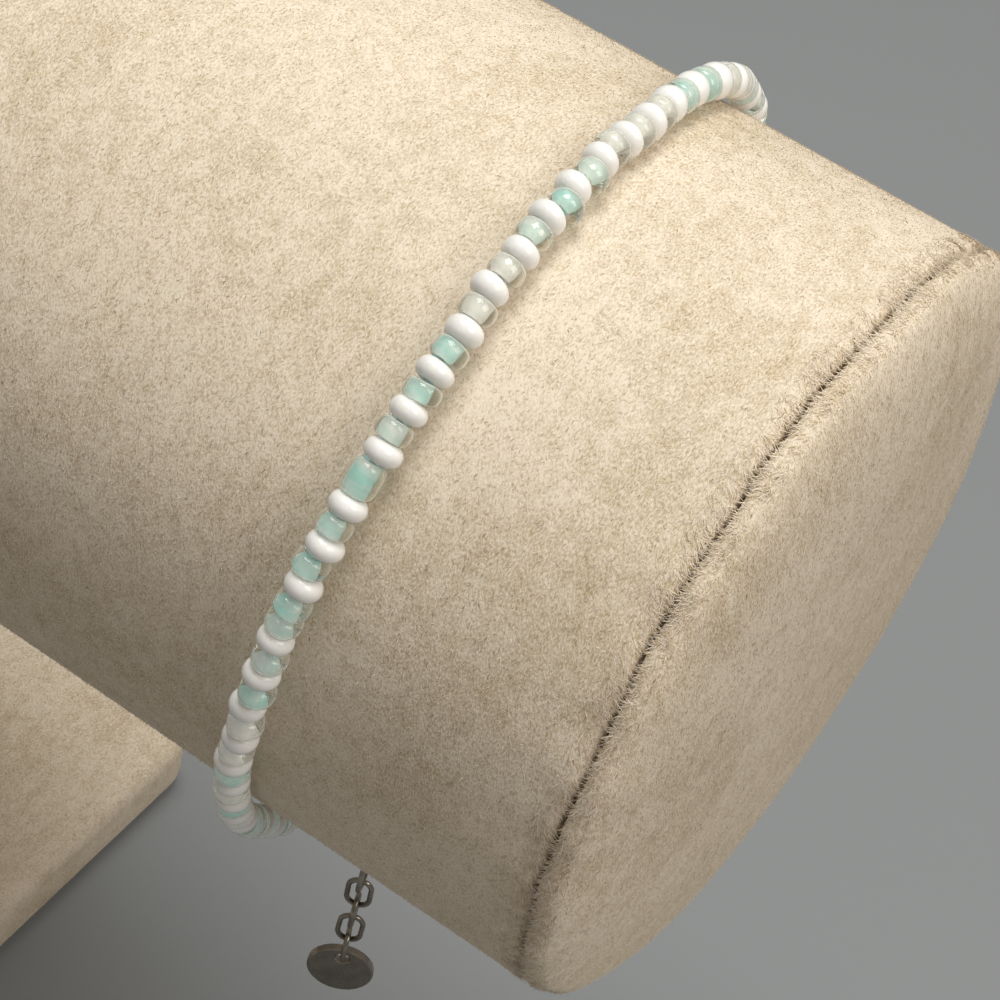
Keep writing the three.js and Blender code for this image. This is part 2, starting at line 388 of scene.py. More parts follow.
@dataclass(frozen=True)
class BoreLining:
    """Pearl paint drawn through a bead's bore.

    It dries paler towards the bore's mouths, with fine rings round the bore where it was pulled.
    The clear wall gathers light onto it. A little light of its own stands for that, because light
    that glass bends isn't traced.
    """

    name: str
    colour: str
    pale: str
    gathered: float = 0.14
    rings_per_mm: tuple[float, float, float] = (3.4, 0.5, 0.5)
    clouds_per_mm: float = 1.1
    cloud_share: float = 0.45
    mouth_paleness: float = 0.22
    # The pattern's strengths where the paint is at its deepest and at its palest
    deepest: float = 0.4
    palest: float = 0.74

    def make(self) -> bpy.types.Material:
        """The paint on the wall of the bore.

        Returns:
            The material.
        """
        material = blank_material(self.name)
        tree = material.node_tree
        place = add_node(tree, "ShaderNodeAttribute", attribute_name=BEAD_PLACE).outputs["Vector"]
        scaled = add_node(
            tree, "ShaderNodeMapping", {"Vector": place, "Scale": self.rings_per_mm}
        ).outputs[0]
        rings = add_node(
            tree,
            "ShaderNodeTexNoise",
            {"Vector": scaled, "Scale": 1.0, "Detail": 3.0, "Distortion": 0.3},
        ).outputs["Fac"]
        cloud = add_node(
            tree,
            "ShaderNodeTexNoise",
            {"Vector": place, "Scale": self.clouds_per_mm, "Detail": 1.0},
        ).outputs["Fac"]
        mouth = add_node(tree, "ShaderNodeAttribute", attribute_name=MOUTH_SHARE).outputs["Fac"]
        drawn = add_node(
            tree,
            "ShaderNodeMix",
            {MIX_FACTOR: self.cloud_share, MIX_LOW: rings, MIX_HIGH: cloud},
            data_type="FLOAT",
        ).outputs[0]
        near_mouth = add_node(
            tree, "ShaderNodeMath", {0: mouth, 1: self.mouth_paleness}, operation="MULTIPLY"
        ).outputs[0]
        blend = add_node(
            tree, "ShaderNodeMath", {0: drawn, 1: near_mouth}, operation="ADD"
        ).outputs[0]
        share = add_node(
            tree,
            "ShaderNodeMapRange",
            {"Value": blend, "From Min": self.deepest, "From Max": self.palest},
        ).outputs[0]
        colour = add_node(
            tree,
            "ShaderNodeMix",
            {MIX_FACTOR: share, MIX_A: linear(self.colour), MIX_B: linear(self.pale)},
            data_type="RGBA",
        )
        return shade(
            material,
            {
                "Base Color": colour.outputs[MIX_RESULT],
                "Roughness": 0.4,
                "IOR": 1.5,
                "Emission Color": colour.outputs[MIX_RESULT],
                "Emission Strength": self.gathered,
            },
        )


@dataclass(frozen=True)
class SilverPlate:
    """Brass findings, stamped or drawn, tumbled and silver plated.

    The plate is worn and dulled, and painted shade darkens it: a warm grey with soft glints.
    """

    name: str = "tumbled_silver_plate"
    # Both colours are darkened with painted shade for the roll's shadow over the findings; real
    # wear mixes them
    bright_plate_shaded: str = "#b3ada3"
    worn_plate_shaded: str = "#776f65"
    wear_size: float = 1.2 * MM
    dull_roughness: float = 0.34
    bright_roughness: float = 0.18

    def make(self) -> bpy.types.Material:
        """The metal of the tips, rings, clasp, chain and tag.

        Returns:
            The material.
        """
        material = blank_material(self.name)
        tree = material.node_tree
        place = add_node(tree, "ShaderNodeTexCoord").outputs["Object"]
        wear = add_node(
            tree,
            "ShaderNodeTexNoise",
            {"Vector": place, "Scale": 1 / self.wear_size, "Detail": 4.0},
        ).outputs["Fac"]
        # Real wear mixes two colours, both darkened with painted shade
        colour = add_node(
            tree,
            "ShaderNodeMix",
            {MIX_FACTOR: wear, MIX_A: linear(self.worn_plate_shaded), MIX_B: linear(self.bright_plate_shaded)},
            data_type="RGBA",
        ).outputs[MIX_RESULT]
        rough = add_node(
            tree,
            "ShaderNodeMapRange",
            {
                "Value": wear,
                "From Min": 0.3,
                "From Max": 0.7,
                "To Min": self.dull_roughness,
                "To Max": self.bright_roughness,
            },
        ).outputs[0]
        return shade(material, {"Base Color": colour, "Metallic": 1.0, "Roughness": rough})


@dataclass(frozen=True)
class PlainFinish:
    """A plain dull or satin surface: the studio floor, and the beading thread."""

    name: str
    colour: str
    roughness: float

    def make(self) -> bpy.types.Material:
        """The surface's finish.

        Returns:
            The material.
        """
        inputs = {"Base Color": linear(self.colour), "Roughness": self.roughness}
        return shade(blank_material(self.name), inputs)


# Shared ways of making meshes


def turned(points: Profile, steps: int, closed: bool = False) -> bmesh.types.BMesh:
    """A solid turned about X.

    Args:
        points: the profile's points, as (place along X, radius).
        steps: the number of sides.
        closed: whether the profile is a loop clear of the axis, as a ring's is.

    Returns:
        The turned mesh, its faces outwards.
    """
    bm = bmesh.new()
    verts = [bm.verts.new((x, 0.0, radius)) for x, radius in points]
    edges = [bm.edges.new(pair) for pair in zip(verts, verts[1:])]
    if closed:
        edges.append(bm.edges.new((verts[-1], verts[0])))
    bmesh.ops.spin(
        bm,
        geom=[*verts, *edges],
        cent=(0, 0, 0),
        axis=(1, 0, 0),
        angle=FULL_TURN,
        steps=steps,
        use_merge=True,
    )
    bmesh.ops.remove_doubles(bm, verts=bm.verts, dist=WELD)
    bmesh.ops.recalc_face_normals(bm, faces=bm.faces)
    return bm


def wire_ring(radius: float, wire: float, steps: int, sides: int) -> bmesh.types.BMesh:
    """A ring of round wire about X.

    Args:
        radius: from the ring's middle to the middle of its wire.
        wire: the wire's radius.
        steps: the number of parts round the ring.
        sides: the number of sides of the wire.

    Returns:
        The ring's mesh.
    """
    section = [
        (wire * math.cos(FULL_TURN * i / sides), radius + wire * math.sin(FULL_TURN * i / sides))
        for i in range(sides)
    ]
    return turned(section, steps, closed=True)


def rise(edge: bmesh.types.BMEdge) -> float:
    """How much higher one end of an edge is than the other."""
    return abs(edge.verts[0].co.z - edge.verts[1].co.z)


def absorb(target: bmesh.types.BMesh, source: bmesh.types.BMesh, place: Matrix) -> None:
    """Adds a mesh to another and frees it.

    Args:
        target: the mesh that takes the other in.
        source: the mesh that is added.
        place: where it is put first.
    """
    bmesh.ops.transform(source, matrix=place, verts=source.verts)
    held = bpy.data.meshes.new("held")
    source.to_mesh(held)
    source.free()
    target.from_mesh(held)
    bpy.data.meshes.remove(held)


def publish(
    name: str,
    shape: bmesh.types.BMesh | bpy.types.Mesh,
    materials: Iterable[bpy.types.Material],
    nodes: Iterable[str] = (),
) -> bpy.types.Object:
    """Makes a finished piece that rides on the body, and hides the solids that it stands for.

    Args:
        name: the piece's name.
        shape: its mesh. A bmesh is smoothed, and freed.
        materials: its materials, in the order of the faces' slots.
        nodes: the solids that it stands for.

    Returns:
        The piece's object.
    """
    mesh = shape
    if isinstance(shape, bmesh.types.BMesh):
        mesh = bpy.data.meshes.new(name)
        shape.to_mesh(mesh)
        shape.free()
        mesh.shade_smooth()
    for material in materials:
        mesh.materials.append(material)
    piece = bpy.data.objects.new(name, mesh)
    bpy.context.scene.collection.objects.link(piece)
    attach(piece, BODY)
    if nodes:
        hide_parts(*nodes)
    LOG.info("%s: %d faces", name, len(mesh.polygons))
    return piece


# The velvet stand

# The pile was last brushed down and a little to the front, with a drift round the roll
BRUSHED = (0.0, -0.4, -1.0)
DRIFT_ROUND_ROLL = 0.35
# A face is bare when it looks nearer to a bare direction than this, as a cosine
BARE_COSINE = 0.9


def mark_run(bm: bmesh.types.BMesh, order: Matrix) -> None:
    """Notes the run of a piece's pile, for the strokes of its velvet.

    Args:
        bm: the piece's mesh.
        order: turns a place into (across the run, along it, out of the cloth).
    """
    layer = bm.loops.layers.float_vector.new(PILE_RUN)
    for face in bm.faces:
        for loop in face.loops:
            loop[layer] = order @ loop.vert.co


def mark_run_round(bm: bmesh.types.BMesh, radius: float) -> None:
    """Notes the run of a pile that lies round X.

    Args:
        bm: the piece's mesh.
        radius: the radius that the way round is measured at.
    """
    layer = bm.loops.layers.float_vector.new(PILE_RUN)
    for face in bm.faces:
        around = [math.atan2(loop.vert.co.y, loop.vert.co.z) for loop in face.loops]
        behind = max(around) - min(around) > math.pi
        for loop, angle in zip(face.loops, around):
            angle += FULL_TURN if behind and angle < 0 else 0.0
            x, y, z = loop.vert.co
            loop[layer] = (x, angle * radius, math.hypot(y, z))


@dataclass(frozen=True)
class FibreBed:
    """Where fibres stand on a surface: roots, the surface's normals and the way that they lean."""

    roots: np.ndarray
    normals: np.ndarray
    leans: np.ndarray


def steady_triangles(mesh: bpy.types.Mesh, points: np.ndarray) -> np.ndarray:
    """A mesh's triangles, in an order that its shape alone decides.

    Blender's mesh operators can number faces and corners anew in each run, and fibres scattered by
    those numbers would stand elsewhere each time.

    Args:
        mesh: the mesh, whose faces are convex.
        points: the places of its vertices.

    Returns:
        The three vertices of each triangle.
    """
    rank = np.empty(len(points), dtype=np.int64)
    rank[np.lexsort(np.round(points / SPECK).T)] = np.arange(len(points))
    fans = []
    for polygon in mesh.polygons:
        ring = np.array(polygon.vertices)
        ring = np.roll(ring, -int(rank[ring].argmin()))
        fans += [(ring[0], *pair) for pair in zip(ring[1:], ring[2:])]
    triangles = np.array(fans)
    return triangles[np.lexsort(rank[triangles].T)]


def bed_on(
    piece: bpy.types.Object,
    per_mm2: float,
    seed: int,
    bare: Iterable[tuple[float, float, float]],
    stretch: tuple[float, float] = (-1.0, 1.0),
) -> FibreBed:
    """Spreads fibres evenly over a piece's surface, leaning down it and towards the front.

    Args:
        piece: the covered piece.
        per_mm2: how many fibres stand on a square millimetre.
        seed: the number that fixes their scatter.
        bare: the directions that its hidden faces look in, which stay bare.
        stretch: where along X the bed starts and ends.

    Returns:
        The bed of the stretch.
    """
    mesh = piece.data
    points, facing = np.empty((2, 3 * len(mesh.vertices)))
    mesh.vertices.foreach_get("co", points)
    mesh.vertices.foreach_get("normal", facing)
    points, facing = points.reshape(-1, 3), facing.reshape(-1, 3)
    corners = steady_triangles(mesh, points)
    triangles, facings = points[corners], facing[corners]
    squares = np.cross(triangles[:, 1] - triangles[:, 0], triangles[:, 2] - triangles[:, 0])
    areas = np.linalg.norm(squares, axis=1) / 2
    middle = triangles[:, :, 0].mean(axis=1)
    kept = (middle >= stretch[0]) & (middle < stretch[1]) & (areas > 0)
    for direction in bare:
        kept &= squares @ np.array(direction) < BARE_COSINE * 2 * areas
    triangles, facings, areas = triangles[kept], facings[kept], areas[kept]
    dice = np.random.default_rng(seed)
    count = int(areas.sum() / MM**2 * per_mm2)
    chosen = dice.choice(len(areas), count, p=areas / areas.sum())
    shares = dice.dirichlet((1.0, 1.0, 1.0), count)[:, :, None]
    roots = (triangles[chosen] * shares).sum(axis=1)
    normals = (facings[chosen] * shares).sum(axis=1)
    normals /= np.linalg.norm(normals, axis=1)[:, None]
    round_roll = np.cross((1.0, 0.0, 0.0), normals)
    leans = np.array(BRUSHED) - normals * (normals @ np.array(BRUSHED))[:, None]
    leans = leans + DRIFT_ROUND_ROLL * round_roll
    leans /= np.linalg.norm(leans, axis=1)[:, None]
    return FibreBed(roots, normals, leans)


@dataclass(frozen=True)
class Pile:
    """Loose tips of a velvet's pile, each one narrow blade that leans over the cloth."""

    length: float = 0.3 * MM
    width: float = 0.065 * MM
    lift_degrees: float = 15
    lift_spread_degrees: float = 7
    spread_degrees: float = 34
    shortest: float = 0.6
    longest: float = 1.3
    unevenness: float = 0.14

    def grow(self, name: str, bed: FibreBed, cloth: CutVelvet, seed: int) -> bpy.types.Object:
        """Makes the blades on a bed. They take the light as the cloth does, each a little apart.

        Args:
            name: the piece's name.
            bed: where the blades stand.
            cloth: the velvet that they belong to.
            seed: the number that fixes their scatter.

        Returns:
            The pile's object.
        """
        dice = np.random.default_rng(seed)
        count = len(bed.roots)
        turn = dice.normal(0, math.radians(self.spread_degrees), count)[:, None]
        across = np.cross(bed.normals, bed.leans)
        lean = bed.leans * np.cos(turn) + across * np.sin(turn)
        lift = np.radians(dice.normal(self.lift_degrees, self.lift_spread_degrees, count))[:, None]
        length = self.length * dice.uniform(self.shortest, self.longest, count)[:, None]
        side = np.cross(bed.normals, lean) * self.width / 2
        tips = bed.roots + length * (lean * np.cos(lift) + bed.normals * np.sin(lift))
        corners = np.stack([bed.roots + side, bed.roots - side, tips], axis=1).reshape(-1, 3)
        corners[:, 2] = np.maximum(corners[:, 2], 0)  # no tip goes through the floor
        mesh = bpy.data.meshes.new(name)
        mesh.vertices.add(3 * count)
        mesh.vertices.foreach_set("co", corners.ravel())
        mesh.loops.add(3 * count)
        mesh.loops.foreach_set("vertex_index", np.arange(3 * count))
        mesh.polygons.add(count)
        mesh.polygons.foreach_set("loop_start", np.arange(0, 3 * count, 3))
        tones = dice.choice(len(cloth.tone_shares), count, p=cloth.tone_shares)
        mesh.update(calc_edges=True)
        mesh.polygons.foreach_set("material_index", tones)
        mesh.shade_smooth()
        facing = bed.normals + dice.normal(0, self.unevenness, (count, 3))
        facing /= np.linalg.norm(facing, axis=1)[:, None]
        mesh.normals_split_custom_set_from_vertices(np.repeat(facing, 3, axis=0))
        mesh.update()
        return publish(name, mesh, cloth.pile())


@dataclass
class VelvetStand:
    """The T-bar: a roll with domed ends on a post, on a padded base, all under one velvet."""

    roll_radius: float
    axis_z: float
    seam_x: float
    cap_depth: float
    base_length: float
    base_width: float
    base_thickness: float
    post_radius: float
    cloth: CutVelvet
    seam_gap: float = 0.3 * MM
    tuck: float = 0.6 * MM
    dome_fullness: float = 2.5
    base_corner: float = 3.5 * MM
    base_round: float = 2.2 * MM
    sleeve_steps: int = 260
    sleeve_rows: int = 60
    rows_beside_seam: int = 9
    row_growth: float = 1.28
    cap_steps: int = 200
    post_steps: int = 64
    post_rows: int = 12
    wave_height: float = 0.05 * MM
    pucker_height: float = 0.11 * MM
    pucker_reach: float = 2.2 * MM
    wander_width: float = 0.16 * MM
    wander_reach: float = 4 * MM
    pile_per_mm2: float = 12.0
    fringe_per_mm: float = 110
    fringe_tuft: int = 10
    fringe_spread: float = 0.15 * MM

    @classmethod
    def from_frame(cls, cloth: CutVelvet) -> VelvetStand:
        """The stand in the sizes of its solids.

        Args:
            cloth: the velvet that covers it.

        Returns:
            The stand.
        """
        low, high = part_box("roll_sleeve")
        cap_low, cap_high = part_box("end_cap_right")
        base_low, base_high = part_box("base_plate")
        post_low, post_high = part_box("roll_post")
        return cls(
            roll_radius=(high.z - low.z) / 2,
            axis_z=(high.z + low.z) / 2,
            seam_x=(high.x + cap_low.x) / 2,
            cap_depth=cap_high.x - (high.x + cap_low.x) / 2,
            base_length=base_high.x - base_low.x,
            base_width=base_high.y - base_low.y,
            base_thickness=base_high.z - base_low.z,
            post_radius=(post_high.x - post_low.x) / 2,
            cloth=cloth,
        )

    def build(self) -> None:
        """Builds the stand's pieces and the pile on each."""
        ground = self.cloth.ground()
        sleeve = self._sleeve(ground)
        cap_right = self._cap(1, "end_cap_right", ground)
        cap_left = self._cap(-1, "end_cap_left", ground)
        base = self._base(ground)
        post = self._post(ground)
        right, left, up, down = (1, 0, 0), (-1, 0, 0), (0, 0, 1), (0, 0, -1)
        pile = Pile()
        third = 2 * self.seam_x / 3
        for i, name in enumerate(("left", "middle", "right")):
            start = -self.seam_x + i * third
            bed = bed_on(
                sleeve,
                self.pile_per_mm2,
                seed=31 + i,
                bare=(right, left),
                stretch=(start, start + third),
            )
            pile.grow(f"sleeve_pile_{name}", bed, self.cloth, seed=11 + i)
        hidden = ((cap_right, (left,)), (cap_left, (right,)), (base, (down,)), (post, (up, down)))
        for i, (piece, bare) in enumerate(hidden):
            bed = bed_on(piece, self.pile_per_mm2, seed=41 + i, bare=bare)
            pile.grow(piece.name.replace("velvet", "pile"), bed, self.cloth, seed=21 + i)
        fringe = Pile(length=0.6 * MM, lift_degrees=10, spread_degrees=30)
        for side, name in ((1, "seam_fringe_right"), (-1, "seam_fringe_left")):
            fringe.grow(name, self._fringe_bed(side), self.cloth, seed=17)

    def _sleeve(self, ground: bpy.types.Material) -> bpy.types.Object:
        """The long cover of the roll, its edges turned in at both seams.

        Args:
            ground: the velvet.

        Returns:
            The cover's object.
        """
        half = self.seam_x - self.seam_gap / 2
        beside_seam = [3 * self.tuck * self.row_growth**i for i in range(self.rows_beside_seam)]
        edge = [*self._tucked_edge(), *((back, self.roll_radius) for back in beside_seam)]
        left = [(-half + back, radius) for back, radius in edge]
        right = [(half - back, radius) for back, radius in reversed(edge)]
        inner = np.linspace(left[-1][0], right[0][0], self.sleeve_rows)[1:-1]
        middle = [(float(x), self.roll_radius) for x in inner]
        bm = turned([(-half, 0.0), *left, *middle, *right, (half, 0.0)], self.sleeve_steps)
        mark_run_round(bm, self.roll_radius)
        self._unsettle(bm)
        return publish("roll_velvet", bm, [ground], ["roll_sleeve"])

    def _tucked_edge(self) -> list[tuple[float, float]]:
        """The cloth's turned-in edge.

        Returns:
            Its points from inside out, as (distance from the edge, radius).
        """
        inner = self.roll_radius - self.tuck
        edge = [(0.0, inner - 3 * self.tuck), (0.0, inner - self.tuck)]
        for i in range(7):
            angle = math.pi / 2 * i / 6
            edge.append((self.tuck * (1 - math.cos(angle)), inner + self.tuck * math.sin(angle)))
        return edge

    def _dome(self, share: float) -> float:
        """How far a cap's dome stands proud of the seam at a share of the roll's radius."""
        face = self.seam_gap / 2 + self.tuck
        return face + (self.cap_depth - face) * math.sqrt(max(0.0, 1 - share**self.dome_fullness))

    def _cap_drop(self, back: np.ndarray) -> np.ndarray:
        """How far a cap's surface lies below the roll's radius.

        Args:
            back: distances back from the cap's edge.

        Returns:
            The drop at each.
        """
        depth = self.cap_depth - self.seam_gap / 2 - self.tuck
        share = np.clip(back - self.tuck, 0, None) / depth
        return self.roll_radius * (1 - (1 - share**2) ** (1 / self.dome_fullness))

    def _cap(self, side: int, name: str, ground: bpy.types.Material) -> bpy.types.Object:
        """A domed end.

        Args:
            side: 1 for the end that carries the bracelet, -1 for the other.
            name: the solid that the piece stands for.
            ground: the velvet.

        Returns:
            The end's object.
        """
        face = self.seam_gap / 2
        edge = [(face + x, radius) for x, radius in self._tucked_edge()]
        # The dome's rings as shares of the roll's radius, closer together towards the seam
        shares = [0.988, 0.975, 0.96, 0.94, 0.915, 0.885, 0.85, *np.linspace(0.81, 0.0, num=22)]
        dome = [(self._dome(share), self.roll_radius * share) for share in shares]
        bm = turned([(face, 0.0), *edge, *dome], self.cap_steps)
        turn = Matrix.Rotation(0.0 if side > 0 else math.pi, 4, "Z")
        spot = Matrix.Translation((side * self.seam_x, 0, 0))
        bmesh.ops.transform(bm, matrix=spot @ turn, verts=bm.verts)
        mark_run(bm, Matrix(((0, 1, 0), (0, 0, 1), (1, 0, 0))))
        self._unsettle(bm)
        return publish(f"{name}_velvet", bm, [ground], [name])

    def _unsettle(self, bm: bmesh.types.BMesh) -> None:
        """Lifts a turned cover to the roll's axis, with the slight waves of hand-laid cloth.

        Args:
            bm: the cover's mesh, turned about X.
        """
        for vert in bm.verts:
            x, y, z = vert.co
            radius = math.hypot(y, z)
            around = math.atan2(y, z)
            share = min(1.0, radius / self.roll_radius)
            if radius > SPECK:
                stretch = 1 + share * float(self.waves(x, around)) / radius
                y, z = stretch * y, stretch * z
            vert.co = (x + share**2 * float(self.wander(x, around)), y, z + self.axis_z)

    def waves(self, x: np.ndarray | float, around: np.ndarray | float) -> np.ndarray | float:
        """How far the cloth stands proud of a true cylinder: shallow waves, and puckers at a seam.

        Args:
            x: places along the roll.
            around: angles round it.

        Returns:
            The rises.
        """
        broad = np.sin(3 * around + 61 * x) + np.sin(5 * around - 97 * x + 1.3)
        near_seam = np.exp(-np.abs(np.abs(x) - self.seam_x) / self.pucker_reach)
        pucker = np.sin(23 * around + 0.8 * np.sin(7 * around)) + 0.6 * np.sin(41 * around + 2.0)
        return self.wave_height * broad + self.pucker_height * near_seam * pucker

    def wander(self, x: np.ndarray | float, around: np.ndarray | float) -> np.ndarray | float:
        """How far a seam wanders from a true circle, the same on both of its sides.

        Args:
            x: places along the roll.
            around: angles round it.

        Returns:
            The shifts along the roll.
        """
        near_seam = np.exp(-np.abs(np.abs(x) - self.seam_x) / self.wander_reach)
        drift = np.sin(4 * around + 0.6) + 0.6 * np.sin(11 * around + 2.1)
        drift = drift + 0.35 * np.sin(29 * around)
        return self.wander_width * near_seam * drift

    def _on_roll(self, x: np.ndarray, around: np.ndarray, radius: np.ndarray) -> np.ndarray:
        """Points of the unsettled cover.

        Args:
            x: places along the roll.
            around: angles round it.
            radius: the radii that they would have on a true cylinder.

        Returns:
            One point for each place.
        """
        lifted = radius + self.waves(x, around) * np.minimum(1.0, radius / self.roll_radius)
        z = lifted * np.cos(around) + self.axis_z
        return np.stack([x + self.wander(x, around), lifted * np.sin(around), z], axis=1)

    def _fringe_bed(self, side: int) -> FibreBed:
        """The fibres along both turned edges of a seam, in tufts that lean over the gap.

        Args:
            side: 1 for the seam by the bracelet, -1 for the other.

        Returns:
            The bed of the seam.
        """
        dice = np.random.default_rng(7)
        count = int(FULL_TURN * self.roll_radius / MM * self.fringe_per_mm)
        tufts = count // self.fringe_tuft
        tuft = dice.integers(0, tufts, count)
        spread = dice.normal(0, self.fringe_spread / self.roll_radius, count)
        around = dice.uniform(0, FULL_TURN, tufts)[tuft] + spread
        from_cap = (dice.integers(0, 2, tufts) * 2 - 1)[tuft]
        slant = dice.uniform(0, 1, tufts)[tuft][:, None]
        # In tucks from the edge: the nearest root, the depth of the bed, and how they crowd forward
        nearest, depth, crowding = 0.25, 2.4, 1.7
        back = (nearest + depth * dice.uniform(0, 1, count) ** crowding) * self.tuck
        x = side * (self.seam_x + from_cap * (self.seam_gap / 2 + back))
        drop = np.where(from_cap > 0, self._cap_drop(back), 0.0)
        inset = np.clip(self.tuck - back, 0, None) ** 2 / self.tuck / 2 + drop
        roots = self._on_roll(x, around, self.roll_radius - inset)
        zero = np.zeros(count)
        normals = np.stack([zero, np.sin(around), np.cos(around)], axis=1)
        along = np.stack([zero, -np.cos(around), np.sin(around)], axis=1)
        over = np.stack([-side * from_cap, zero, zero], axis=1)
        reach_over = 1.3 * self.tuck
        leans = over * np.exp(-back / reach_over)[:, None] + along * slant
        leans /= np.linalg.norm(leans, axis=1)[:, None]
        return FibreBed(roots, normals, leans)

    def _base(self, ground: bpy.types.Material) -> bpy.types.Object:
        """The padded base plate, its corners and edges rolled over by the cloth.

        Args:
            ground: the velvet.

        Returns:
            The base's object.
        """
        bm = bmesh.new()
        bmesh.ops.create_cube(bm, size=1.0)
        size = (self.base_length, self.base_width, self.base_thickness)
        bmesh.ops.scale(bm, vec=size, verts=bm.verts)
        bmesh.ops.translate(bm, vec=(0, 0, self.base_thickness / 2), verts=bm.verts)
        upright = [e for e in bm.edges if rise(e) > self.base_round]
        self._round_off(bm, upright, self.base_corner, segments=10)
        level = [e for e in bm.edges if rise(e) < SPECK and len(e.link_faces) == 2]
        rims = [e for e in level if abs(e.link_faces[0].normal.z - e.link_faces[1].normal.z) > 0.5]
        self._round_off(bm, rims, self.base_round, segments=5)
        mark_run(bm, Matrix.Identity(3))
        return publish("base_velvet", bm, [ground], ["base_plate"])

    def _round_off(
        self,
        bm: bmesh.types.BMesh,
        edges: Sequence[bmesh.types.BMEdge],
        offset: float,
        segments: int,
    ) -> None:
        """Rolls edges over.

        Args:
            bm: their mesh.
            edges: the edges.
            offset: how far the rounding reaches from each.
            segments: the number of faces across it.
        """
        bmesh.ops.bevel(
            bm,
            geom=edges,
            offset=offset,
            affect="EDGES",
            segments=segments,
            profile=0.5,
            material=-1,
        )

    def _post(self, ground: bpy.types.Material) -> bpy.types.Object:
        """The covered post, from the base to the roll's underside.

        Args:
            ground: the velvet.

        Returns:
            The post's object.
        """
        foot = self.base_thickness + self.seam_gap
        ends = [(0.0, self.post_radius * i / 4) for i in range(4)]
        wall = [(i / self.post_rows, self.post_radius) for i in range(self.post_rows + 1)]
        top = [(1.0, self.post_radius * (3 - i) / 4) for i in range(4)]
        bm = turned([*ends, *wall, *top], self.post_steps)
        hollow = self.roll_radius + self.seam_gap
        for vert in bm.verts:
            share, y, x = vert.co
            ceiling = self.axis_z - math.sqrt(hollow**2 - y**2)
            vert.co = (x, y, foot + (ceiling - foot) * share)
        bmesh.ops.recalc_face_normals(bm, faces=bm.faces)
        mark_run(bm, Matrix(((1, 0, 0), (0, 0, 1), (0, 1, 0))))
        return publish("post_velvet", bm, [ground], ["roll_post"])


# The loop and what is strung on it


@dataclass(frozen=True)
class LoopRoute:
    """The way of the bead string: it hugs the roll, leans a little and sags below it."""

    centre_x: float
    axis_z: float
    radius: float
    lean: float = 0.0857
    turn: float = -0.0293
    sag: float = 2 * MM
    sag_half_span: float = math.radians(52)

    @classmethod
    def round_roll(cls, stand: VelvetStand) -> LoopRoute:
        """The route round a stand's roll.

        Args:
            stand: the stand that carries the bracelet.

        Returns:
            The route.
        """
        seam_inset = 22.9 * MM
        clear_of_velvet = 0.34 * MM
        bead_radius = 1.3 * MM
        return cls(
            centre_x=stand.seam_x - seam_inset,
            axis_z=stand.axis_z,
            radius=stand.roll_radius + clear_of_velvet + bead_radius,
        )

    def point(self, angle: float) -> Vector:
        """The route's point at an angle.

        Args:
            angle: the angle, which is 0 at the bottom and grows to the back.

        Returns:
            The point.
        """
        away = abs(math.atan2(math.sin(angle), math.cos(angle))) / self.sag_half_span
        sag = self.sag * (0.5 + 0.5 * math.cos(math.pi * away)) if away < 1 else 0.0
        y = (self.radius + sag) * math.sin(angle)
        z = -(self.radius + sag) * math.cos(angle)
        return Vector((self.centre_x + self.lean * z + self.turn * y, y, self.axis_z + z))

    def across(self) -> Vector:
        """Square to the loop's plane, towards the near end of the roll."""
        return Vector((1, -self.turn, -self.lean)).normalized()

    def along(self, angle: float) -> Vector:
        """The route's direction at an angle."""
        step = 0.002
        return (self.point(angle + step) - self.point(angle - step)).normalized()

    def frame(self, angle: float) -> Matrix:
        """A placing whose X runs along the route, Y across the loop and Z away from the roll."""
        along = self.along(angle)
        return placing(self.point(angle), along, self.across())

    def angle_at(self, start: float, side: int, distance: float) -> float:
        """The angle of the point at a straight distance from another.

        Args:
            start: the angle that it is measured from.
            side: 1 to the back, -1 to the front.
            distance: the straight distance.

        Returns:
            The angle.
        """
        origin = self.point(start)
        near, far = start, start + side * 2 * distance / self.radius
        halvings = 40
        for _ in range(halvings):
            middle = (near + far) / 2
            if (self.point(middle) - origin).length < distance:
                near = middle
            else:
                far = middle
        return (near + far) / 2


def placing(origin: Vector, along: Vector, across: Vector) -> Matrix:
    """A placing at a point.

    Args:
        origin: the point.
        along: the direction that its X takes.
        across: the direction that its Y takes.

    Returns:
        The placing.
    """
    outward = along.cross(across).normalized()
    basis = Matrix((along, across, outward)).transposed().to_4x4()
    basis.translation = origin
    return basis


class BeadKind(Enum):
    """The kinds of seed bead on the strand, by the letter that the chart gives them."""

    WHITE = "w"
    MINT = "m"
    PALE = "p"
    PEARL = "c"
    LONG_MINT = "l"


@dataclass(frozen=True)
class BeadShape:
    """The shape of a kind of bead.

    Attributes:
        thickness: how much room it takes on the strand.
        radius: from its axis to its belly.
        bore: the radius of its bore.
        crown: how far the rounding of its outside reaches in from the belly.
        squareness: 2 for a round outside, more for a boxy one.
    """

    thickness: float
    radius: float
    bore: float
    crown: float
    squareness: float


BEAD_SHAPES = {
    BeadKind.WHITE: BeadShape(1.66 * MM, 1.32 * MM, 0.42 * MM, 0.78 * MM, 2.1),
    BeadKind.MINT: BeadShape(1.55 * MM, 1.26 * MM, 0.58 * MM, 0.6 * MM, 2.8),
    BeadKind.PALE: BeadShape(1.55 * MM, 1.26 * MM, 0.59 * MM, 0.6 * MM, 2.7),
    BeadKind.PEARL: BeadShape(1.55 * MM, 1.27 * MM, 0.61 * MM, 0.6 * MM, 2.7),
    BeadKind.LONG_MINT: BeadShape(2.6 * MM, 1.23 * MM, 0.6 * MM, 0.56 * MM, 3.0),
}

